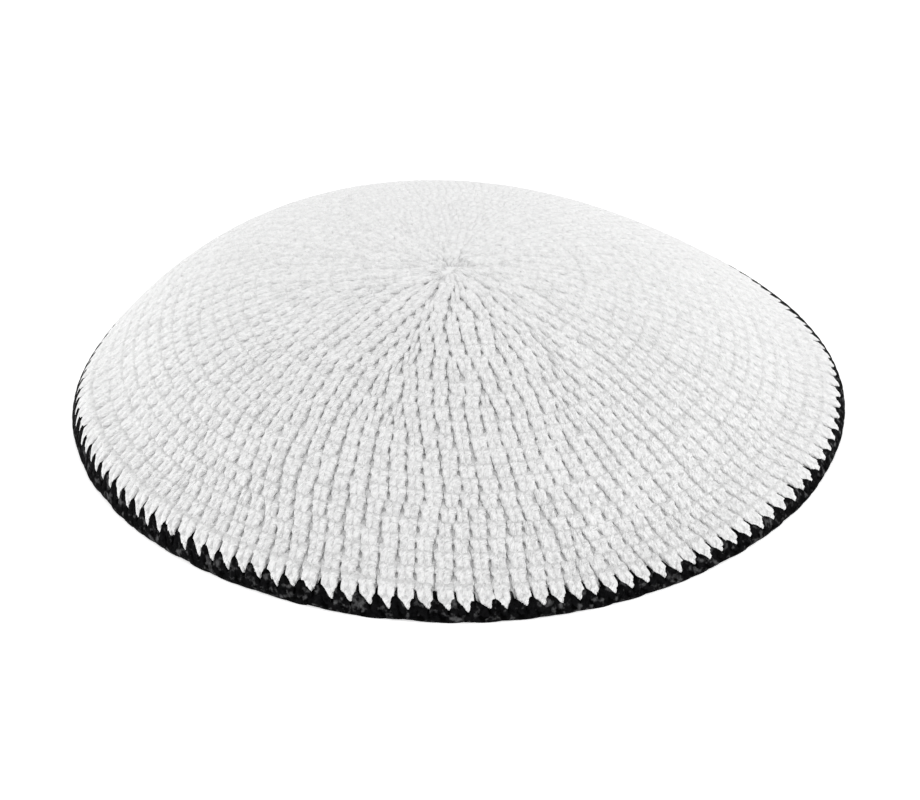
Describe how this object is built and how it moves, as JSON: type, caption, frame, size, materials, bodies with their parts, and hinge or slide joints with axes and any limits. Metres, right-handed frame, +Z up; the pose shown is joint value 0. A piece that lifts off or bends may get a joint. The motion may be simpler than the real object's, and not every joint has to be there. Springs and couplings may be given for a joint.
{
  "type": "crocheted kippah skullcap",
  "caption": "Round shallow skullcap crocheted in rounds: a hollow white dome closed by a black edge round with interlocking spikes.",
  "frame": {"origin": "middle of the cap's outline on the surface that it rests on", "axes": "+Z up through the crown, +X to the right as the picture shows the cap, -Y towards the viewer"},
  "size_m": [0.1727, 0.1688, 0.0373],
  "materials": {
    "white_yarn": "matt white cotton yarn, single crochet worked in rounds",
    "black_yarn": "matt black cotton yarn, one round of single crochet"
  },
  "bodies": {
    "root": {"crown": "white_yarn", "edge_round": "black_yarn"}
  },
  "joints": []
}
